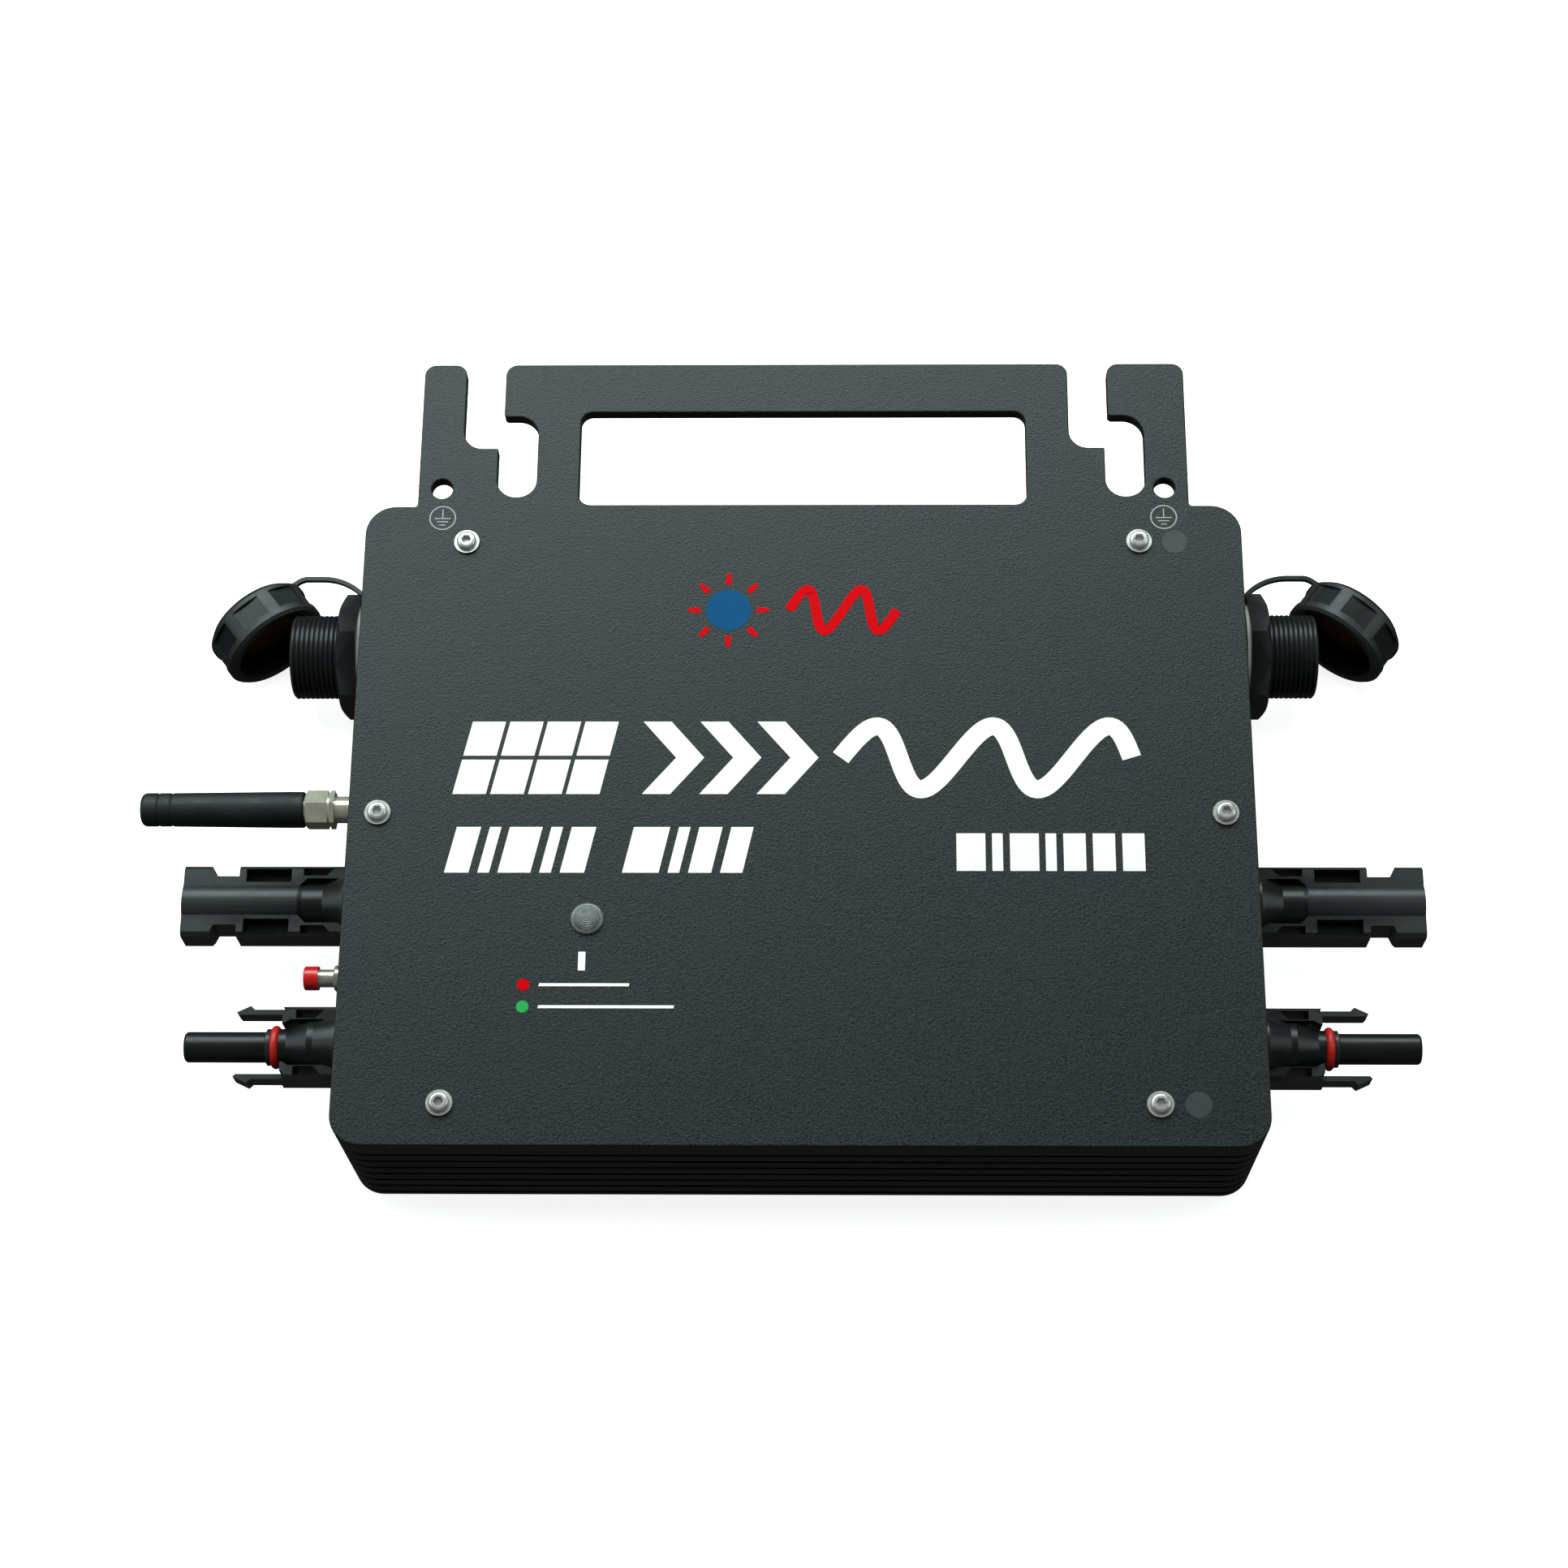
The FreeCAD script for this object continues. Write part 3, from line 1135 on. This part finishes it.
# ---------------------------------------------------------------- antenna and button
def build_antenna():
    jack = turned_body("antenna_jack", [
        ("0", "-JackTail"),
        ("JackSpigotRadius", "-JackTail"),
        ("JackSpigotRadius", "-JackTail + JackSpigotLength"),
        ("JackRadius", "-JackTail + JackSpigotLength"),
        ("JackRadius", "JackOut - SmallBevel"),
        ("JackRadius - SmallBevel", "JackOut"),
        ("0", "JackOut"),
    ])
    mouth = new_sketch(jack, "XY_Plane", "JackOut")
    draw_circle(mouth, "0", "0", "JackBoreRadius")
    pocket(jack, mouth, "JackBoreDepth")
    nut = build_nut("antenna_jack_nut", "JackNutFlats", "JackNutThickness", "JackRadius + FitGap", "0")
    cap_nut = build_nut(
        "antenna_nut", "AntennaNutFlats", "AntennaNutLength", "JackRadius + FitGap", "AntennaNutStart"
    )
    nut_top = "AntennaNutStart + AntennaNutLength"
    past_corners = f"AntennaNutFlats * {HEX_REACH}"
    turn(cap_nut, [
        ("AntennaNutFlats / 2", nut_top),
        (past_corners, nut_top),
        (past_corners, f"{nut_top} - AntennaNutBevel"),
    ], "Groove")
    groove_foot = "AntennaNutStart + AntennaNutGroovePlace"
    turn(cap_nut, [
        ("AntennaNutGrooveRadius", groove_foot),
        (past_corners, groove_foot),
        (past_corners, f"{groove_foot} + AntennaNutGrooveWidth"),
        ("AntennaNutGrooveRadius", f"{groove_foot} + AntennaNutGrooveWidth"),
    ], "Groove")
    spigot_end = "WhipStart + FerruleSpigotLength"
    ferrule = turned_body("antenna_ferrule", [
        ("0", "FerruleStart"),
        ("FerruleRadius", "FerruleStart"),
        ("FerruleRadius", "WhipStart"),
        ("FerruleSpigotRadius", "WhipStart"),
        ("FerruleSpigotRadius", spigot_end),
        ("0", spigot_end),
    ])
    tip = "WhipStart + WhipLength"
    profile = [
        ("0", spigot_end),
        ("FerruleSpigotRadius", spigot_end),
        ("FerruleSpigotRadius", "WhipStart"),
        ("WhipRadius - SmallBevel", "WhipStart"),
        ("WhipRadius", "WhipStart + SmallBevel"),
        ("WhipRadius", "WhipStart + WhipStraight"),
    ]
    for back in ("WhipGrooveFar", "WhipGrooveNear"):
        profile += [
            ("WhipTipRadius", f"{tip} - {back} - WhipGrooveHalf"),
            ("WhipTipRadius - WhipGroove", f"{tip} - {back}"),
            ("WhipTipRadius", f"{tip} - {back} + WhipGrooveHalf"),
        ]
    profile += [("WhipTipRadius", tip), ("0", tip)]
    whip = turned_body("antenna_whip", profile)
    round_edges(whip, "Fillet", "WhipTipRound", at_height(tip))
    for item in (jack, nut, cap_nut, ferrule, whip):
        export(seat_on_wall(item, SIDES["left"], "AntennaPlace"))


def build_button():
    bush = turned_body("button_bushing", [
        ("PlungerRadius + FitGap", "BushLipStart"),
        ("BushBoreRadius", "BushLipStart"),
        ("BushBoreRadius", "-BushTail"),
        ("BushRadius", "-BushTail"),
        ("BushRadius", "BushOut - SmallBevel"),
        ("BushRadius - SmallBevel", "BushOut"),
        ("PlungerRadius + FitGap", "BushOut"),
    ])
    nut = build_nut("button_nut", "ButtonNutFlats", "ButtonNutThickness", "BushRadius + FitGap", "0")
    plunger = turned_body("button_plunger", [
        ("0", "-PlungerTail"),
        ("PlungerShoulder", "-PlungerTail"),
        ("PlungerShoulder", "BushLipStart - FitGap"),
        ("PlungerRadius", "BushLipStart - FitGap"),
        ("PlungerRadius", "PlungerOut"),
        ("ButtonSpigotRadius", "PlungerOut"),
        ("ButtonSpigotRadius", "PlungerOut + ButtonSocketDepth"),
        ("0", "PlungerOut + ButtonSocketDepth"),
    ])
    cap_top = "PlungerOut + ButtonCapLength"
    cap = turned_body("button_cap", [
        ("0", "PlungerOut + ButtonSocketDepth"),
        ("ButtonSpigotRadius", "PlungerOut + ButtonSocketDepth"),
        ("ButtonSpigotRadius", "PlungerOut"),
        ("ButtonCapRadius", "PlungerOut"),
        ("ButtonCapRadius", cap_top),
        ("0", cap_top),
    ])
    round_edges(cap, "Fillet", "ButtonCapRound", at_height(cap_top))
    switch = new_body("button_switch")
    block = new_sketch(switch, "XY_Plane", "-BushTail")
    draw_centred(block, "SwitchWidth", "SwitchWidth")
    pad(switch, block, "SwitchLength", reverse=True)
    for item in (bush, nut, plunger, cap, switch):
        export(seat_on_wall(item, SIDES["left"], "ButtonPlace"))


# ---------------------------------------------------------------- DC sockets and plugs
def mirrored_pockets(body, corners, web=None):
    """Cut the same pocket through both flanks of a DC fitting, and close it halfway with a web."""
    for flank in (-1, 1):
        sketch = new_sketch(body, "YZ_Plane")
        draw_outline(sketch, [(f"{flank} * ({y})", z) for y, z in corners])
        pocket(body, sketch, None, side="Symmetric")
        if web:
            closing = new_sketch(body, "YZ_Plane")
            draw_outline(closing, [(f"{flank} * ({y})", z) for y, z in corners])
            pad(body, closing, web, side="Symmetric")


def build_dc_socket(label):
    body = new_body(label)
    section = new_sketch(body, "XY_Plane")
    draw_outline(section, beveled_section("SocketWidth", "SocketThickness", "SocketBevel"))
    pad(body, section, "SocketOut")
    rail = "SocketWidth / 2 - RailWidth"
    gap = new_sketch(body, "YZ_Plane")
    draw_outline(gap, [
        (f"-({rail})", "0"),
        (rail, "0"),
        (rail, "SocketShoulder - NeckGapSlope"),
        (f"{rail} - NeckGapSlope", "SocketShoulder"),
        (f"-({rail} - NeckGapSlope)", "SocketShoulder"),
        (f"-({rail})", "SocketShoulder - NeckGapSlope"),
    ])
    pocket(body, gap, None, side="Symmetric")
    turn(body, [
        ("0", "-DcTail"),
        ("DcThreadRadius", "-DcTail"),
        ("DcThreadRadius", "0"),
        ("DcFlareRadius", "0"),
        ("DcFlareRadius", "DcFlareFoot"),
        ("DcNeckRadius", "DcFlareEnd"),
        ("DcNeckRadius", "SocketShoulder - NeckGapRise"),
        ("SocketRidgeRadius", "SocketShoulder"),
        ("SocketRidgeRadius", "SocketOut"),
        ("0", "SocketOut"),
    ])
    flank = "SocketWidth / 2"
    floor = f"{flank} - NotchDepth"
    mirrored_pockets(body, [
        (floor, "NotchStart"),
        (f"{flank} + CutterReach", "NotchStart"),
        (f"{flank} + CutterReach", "NotchStart + NotchLength + NotchSlope"),
        (flank, "NotchStart + NotchLength + NotchSlope"),
        (floor, "NotchStart + NotchLength"),
    ])
    mirrored_pockets(body, [
        (f"{flank} - WindowRim - WindowWidth", "WindowStart"),
        (f"{flank} - WindowRim", "WindowStart"),
        (f"{flank} - WindowRim", "WindowStart + WindowLength"),
        (f"{flank} - WindowRim - WindowWidth", "WindowStart + WindowLength"),
    ], web="WindowWeb")
    inner = f"{flank} - RailWidth / 2 - RailPocketWidth / 2"
    outer = f"{flank} - RailWidth / 2 + RailPocketWidth / 2"
    mirrored_pockets(body, [
        (inner, "RailPocketStart + RailPocketWidth"),
        (outer, "RailPocketStart"),
        (outer, "RailPocketStart + RailPocketLength"),
        (inner, "RailPocketStart + RailPocketLength"),
    ])
    for radius, depth in (
        ("SocketBoreRadius", "SocketBoreDepth"),
        ("SocketMouthRadius", "SocketMouthDepth"),
    ):
        bore = new_sketch(body, "XY_Plane", "SocketOut")
        draw_circle(bore, "0", "0", radius)
        pocket(body, bore, depth)
    contact_hole(body)
    return body


def contact_hole(body):
    sketch = new_sketch(body, "XY_Plane", "-DcTail")
    draw_circle(sketch, "0", "0", "ContactRadius + FitGap")
    pocket(body, sketch, None, reverse=True)


def build_dc_plug(label):
    body = new_body(label)
    section = new_sketch(body, "XY_Plane")
    draw_outline(section, beveled_section("SocketWidth", "SocketThickness", "SocketBevel"))
    pad(body, section, "PlugBody")
    rail = "SocketWidth / 2 - RailWidth"
    gap = new_sketch(body, "YZ_Plane")
    draw_outline(gap, [
        (f"-({rail})", "0"),
        (rail, "0"),
        (rail, "PlugBody - NeckGapSlope"),
        (f"{rail} - PlugGapSlope", "PlugBody + CutterReach"),
        (f"-({rail} - PlugGapSlope)", "PlugBody + CutterReach"),
        (f"-({rail})", "PlugBody - NeckGapSlope"),
    ])
    pocket(body, gap, None, side="Symmetric")
    groove_root = "SealRadius - SealThickness / 2 - FitGap"
    half_groove = "(SealThickness / 2 + FitGap)"
    turn(body, [
        ("0", "-DcTail"),
        ("DcThreadRadius", "-DcTail"),
        ("DcThreadRadius", "0"),
        ("DcFlareRadius", "0"),
        ("DcFlareRadius", "DcFlareFoot"),
        ("PlugDomeRadius", "DcFlareEnd"),
        ("PlugDomeRadius", "PlugDomeEnd"),
        ("PlugCollarRadius", "PlugConeEnd"),
        ("PlugCollarRadius", f"SealPlace - {half_groove}"),
        (groove_root, f"SealPlace - {half_groove}"),
        (groove_root, f"SealPlace + {half_groove}"),
        ("PlugCollarRadius", f"SealPlace + {half_groove}"),
        ("PlugCollarRadius", "PlugCollarEnd - SmallBevel"),
        ("PlugTubeRadius", "PlugCollarEnd"),
        ("PlugTubeRadius", "PlugTubeEnd - EndBevel"),
        ("PlugTubeRadius - ContactBevel", "PlugTubeEnd"),
        ("0", "PlugTubeEnd"),
    ])
    flank = "SocketWidth / 2"
    inner = f"{flank} - PlugPocketRim - PlugPocketWidth"
    outer = f"{flank} - PlugPocketRim"
    mirrored_pockets(body, [
        (inner, "PlugPocketStart + PlugPocketWidth"),
        (outer, "PlugPocketStart"),
        (outer, "PlugPocketStart + PlugPocketLength"),
        (inner, "PlugPocketStart + PlugPocketLength"),
    ])
    knuckles = new_sketch(body, "YZ_Plane")
    for side in (-1, 1):
        draw_circle(knuckles, f"{side} * LatchOffset", "PlugBody", "LatchKnuckle + MoveGap")
    pocket(body, knuckles, None, side="Symmetric")
    bore = new_sketch(body, "XY_Plane", "PlugTubeEnd")
    draw_circle(bore, "0", "0", "PlugTubeBore")
    pocket(body, bore, "PlugTubeBoreDepth")
    contact_hole(body)
    return body


def build_latch(label, flank):
    """A barbed arm with a rounded root, on one flank (-1 or 1) of the plug."""
    body = new_body(label)
    tip = "PlugBody + LatchLength"
    inner = "LatchOffset - LatchThickness / 2"
    outer = "LatchOffset + LatchThickness / 2"
    arm = new_sketch(body, "YZ_Plane")
    corners = [
        (inner, "PlugBody"),
        (outer, "PlugBody"),
        (outer, f"{tip} - LatchBarbLength - LatchBarb"),
        (f"{outer} + LatchBarb", f"{tip} - LatchBarbLength"),
        ("LatchOffset", tip),
        (inner, f"{tip} - LatchThickness / 2"),
    ]
    draw_outline(arm, [(f"{flank} * ({y})", z) for y, z in corners])
    pad(body, arm, "LatchHeight", side="Symmetric")
    root = new_sketch(body, "YZ_Plane")
    draw_circle(root, f"{flank} * LatchOffset", "PlugBody", "LatchKnuckle")
    pad(body, root, "LatchHeight", side="Symmetric")
    return body


def build_contact(label, end, bore):
    """A turned contact pin with a drilled end."""
    body = turned_body(label, [
        ("0", "-ContactTail"),
        ("ContactRadius", "-ContactTail"),
        ("ContactRadius", f"{end} - ContactBevel"),
        ("ContactRadius - ContactBevel", end),
        ("0", end),
    ])
    drill = new_sketch(body, "XY_Plane", end)
    draw_circle(drill, "0", "0", bore)
    pocket(body, drill, "ContactBoreDepth")
    return body


def build_seal(label):
    seal = doc.addObject("Part::Torus", label)
    bind(seal, "Radius1", "SealRadius")
    bind(seal, "Radius2", "SealThickness / 2")
    return place(seal, "0", "0", "SealPlace")


def build_dc_side(name, side):
    export(seat_on_wall(build_dc_socket(f"dc_socket_housing_{name}"), side, "SocketPlace"))
    contact = build_contact(f"dc_socket_contact_{name}", "SocketContactOut", "SocketContactBore")
    export(seat_on_wall(contact, side, "SocketPlace"))
    export(seat_on_wall(build_dc_plug(f"dc_plug_housing_{name}"), side, "PlugPlace"))
    contact = build_contact(f"dc_plug_contact_{name}", "PlugContactOut", "PlugContactBore")
    export(seat_on_wall(contact, side, "PlugPlace"))
    seat_on_wall(group(f"dc_plug_seal_{name}", [build_seal(f"seal_ring_{name}")]), side, "PlugPlace")
    for flank, word in ((-1, "lower"), (1, "upper")):
        latch = build_latch(f"latch_{name}_{word}", flank)
        export(seat_on_wall(latch, side, "PlugPlace"))


def build_inner_nuts():
    ac_nut = build_nut(
        "ac_nut", "AcNutFlats", "AcNutThickness", "AcNeckRadius + FitGap",
        "-WallThickness - AcNutThickness",
    )
    dc_nut = build_nut(
        "dc_nut", "DcNutFlats", "DcNutThickness", "DcThreadRadius + FitGap",
        "-WallThickness - DcNutThickness",
    )
    spacer = build_spacer()
    ac_nuts, dc_nuts, spacers = [], [], []
    for name, side in SIDES.items():
        ac_nuts.append(seat_on_wall(copy_of(ac_nut, f"ac_nut_{name}"), side, "AcPlace"))
        spacers.append(seat_on_wall(copy_of(spacer, f"spacer_{name}"), side, "AcPlace"))
        for fitting, along in (("socket", "SocketPlace"), ("plug", "PlugPlace")):
            nut = copy_of(dc_nut, f"dc_nut_{fitting}_{name}")
            dc_nuts.append(seat_on_wall(nut, side, along))
    group("ac_panel_nuts", ac_nuts)
    group("dc_panel_nuts", dc_nuts)
    group("tether_spacers", spacers)


# ---------------------------------------------------------------- electronics
def row_of(count, pitch, middle="0"):
    """Places of a centred row of pieces."""
    return [f"{middle} + {step - (count - 1) / 2} * ({pitch})" for step in range(count)]


def build_board():
    board = new_body("main_board")
    outline = new_sketch(board, "XY_Plane", "FloorThickness + StandoffHeight")
    draw_centred(outline, "BoardWidth", "BoardHeight", "BossRadius / 2")
    draw_circles(outline, standoff_places(), "ScrewRadius + ScrewClearance")
    pad(board, outline, "BoardThickness")
    export(board)
    screw = build_screw(
        "board_screw", "BoardScrewHead", "BoardScrewHeight",
        "BoardScrewLength + BoardThickness - MoveGap", False,
    )
    group("board_screws", [
        place(copy_of(screw, f"board_screw_{i}"), x, y, BOARD_TOP)
        for i, (x, y) in enumerate(standoff_places(), start=1)
    ])


def build_components():
    transformers = []
    for i, x in enumerate(row_of(TRANSFORMER_COUNT, "TransformerSpread"), start=1):
        core = box(f"core_{i}", "TransformerWidth", "CoreDepth", "TransformerHeight",
                   x, "0", BOARD_TOP)
        coil = box(f"coil_{i}", "CoilWidth", "TransformerDepth",
                   "TransformerHeight - 2 * CoilOverhang", x, "0", f"{BOARD_TOP} + CoilOverhang")
        transformers.append(boolean("Fuse", f"transformer_{i}", core, coil))
    group("power_transformers", transformers)
    group("bulk_capacitors", [
        post(f"capacitor_{i}", "CapacitorRadius", "CapacitorHeight", x, "CapacitorRow", BOARD_TOP)
        for i, x in enumerate(row_of(CAPACITOR_COUNT, "CapacitorSpread"), start=1)
    ])
    inner_face = "-(PlateHeight / 2 - WallThickness)"
    transistor_row = f"{inner_face} + TransistorThickness / 2"
    group("power_transistors", [
        box(f"transistor_{i}", "TransistorWidth", "TransistorThickness", "TransistorHeight",
            x, transistor_row, BOARD_TOP)
        for i, x in enumerate(row_of(TRANSISTOR_COUNT, "TransistorSpread"), start=1)
    ])
    export(box(
        "transistor_clamp", f"{TRANSISTOR_COUNT} * TransistorSpread", "ClampThickness",
        "ClampHeight", "0", f"{inner_face} + TransistorThickness + ClampThickness / 2",
        f"{BOARD_TOP} + ClampPlace",
    ))
    choke = doc.addObject("Part::Torus", "line_choke")
    bind(choke, "Radius1", "ChokeRadius")
    bind(choke, "Radius2", "ChokeSection")
    export(place(choke, "ChokeX", "ChokeY", f"{BOARD_TOP} + ChokeSection"))
    group("grid_relays", [
        box(f"relay_{i}", "RelayWidth", "RelayDepth", "RelayHeight", x, "ChokeY", BOARD_TOP)
        for i, x in enumerate(row_of(RELAY_COUNT, "RelaySpread", "RelaySpread"), start=1)
    ])
    export(box("radio_module", "RadioWidth", "RadioHeight", "RadioThickness",
               "-(BoardWidth - RadioWidth) / 2 + RadioInset", "AntennaPlace", BOARD_TOP))


def bent_lead(side, start, landing, along, foot, radius, bend):
    """A lead that runs straight in from a side fitting and turns down onto the board."""
    height = value("AxisHeight")
    corner_x = side * landing
    start_point = Vector(side * start, along, height)
    turn_start = Vector(corner_x + side * bend, along, height)
    middle = Vector(
        corner_x + side * bend * (1 - math.sqrt(0.5)), along, height - bend * (1 - math.sqrt(0.5))
    )
    turn_end = Vector(corner_x, along, height - bend)
    path = Part.Wire([
        Part.makeLine(start_point, turn_start),
        Part.Arc(turn_start, middle, turn_end).toShape(),
        Part.makeLine(turn_end, Vector(corner_x, along, foot)),
    ])
    section = Part.Wire(Part.makeCircle(radius, start_point, Vector(-side, 0, 0)))
    return path.makePipeShell([section], True, True)


def lead_group(label, leads):
    feature = doc.addObject("Part::Feature", label)
    feature.Shape = Part.makeCompound(leads)
    export(feature)


def build_leads():
    half_width, landing = value("PlateWidth / 2"), value("LeadLanding")
    board_top, bend = value(BOARD_TOP), value("LeadBend")
    contact_end = half_width - value("ContactTail")
    lead_group("dc_leads", [
        bent_lead(side, contact_end, landing, value(along), board_top, value("LeadRadius"), bend)
        for side in SIDES.values()
        for along in ("SocketPlace", "PlugPlace")
    ])
    insert_back = half_width + value(f"{AC_MOUTH} - AcBoreDepth - AcInsertLength")
    lead_group("ac_leads", [
        bent_lead(side, insert_back, landing, value("AcPlace"), board_top,
                  value("MainsLeadRadius"), bend)
        for side in SIDES.values()
    ])
    radio_top = board_top + value("RadioThickness")
    radio_x = value("BoardWidth / 2 - RadioInset - RadioWidth / 2")
    coax_bend = value("AxisHeight - CoaxLanding") - radio_top
    lead_group("antenna_lead", [
        bent_lead(SIDES["left"], half_width - value("JackTail"), radio_x, value("AntennaPlace"),
                  radio_top, value("CoaxRadius"), coax_bend)
    ])


# ---------------------------------------------------------------- build, check and write
def check_document():
    doc.recompute()
    for item in doc.Objects:
        if {"Invalid", "Error"} & set(item.State):
            raise ValueError(f"{item.Label} failed: {item.State}")
    for item in nodes:
        if item.Shape.isNull() or not item.Shape.isValid():
            raise ValueError(f"{item.Label} has no valid shape")


def write_parts():
    os.makedirs("parts", exist_ok=True)
    for item in nodes:
        item.Shape.exportStep(f"parts/{item.Label}.step")
        print(f"{item.Label}: {len(item.Shape.Solids)} solid(s), {item.Shape.Volume:.0f} mm3")


build_housing()
build_label()
build_cover_plate()
build_gasket()
build_cover_screws()
build_indicators()
for side_name, side_sign in SIDES.items():
    build_ac_side(side_name, side_sign)
    build_dc_side(side_name, side_sign)
build_inner_nuts()
build_antenna()
build_button()
build_board()
build_components()
build_leads()
check_document()
write_parts()
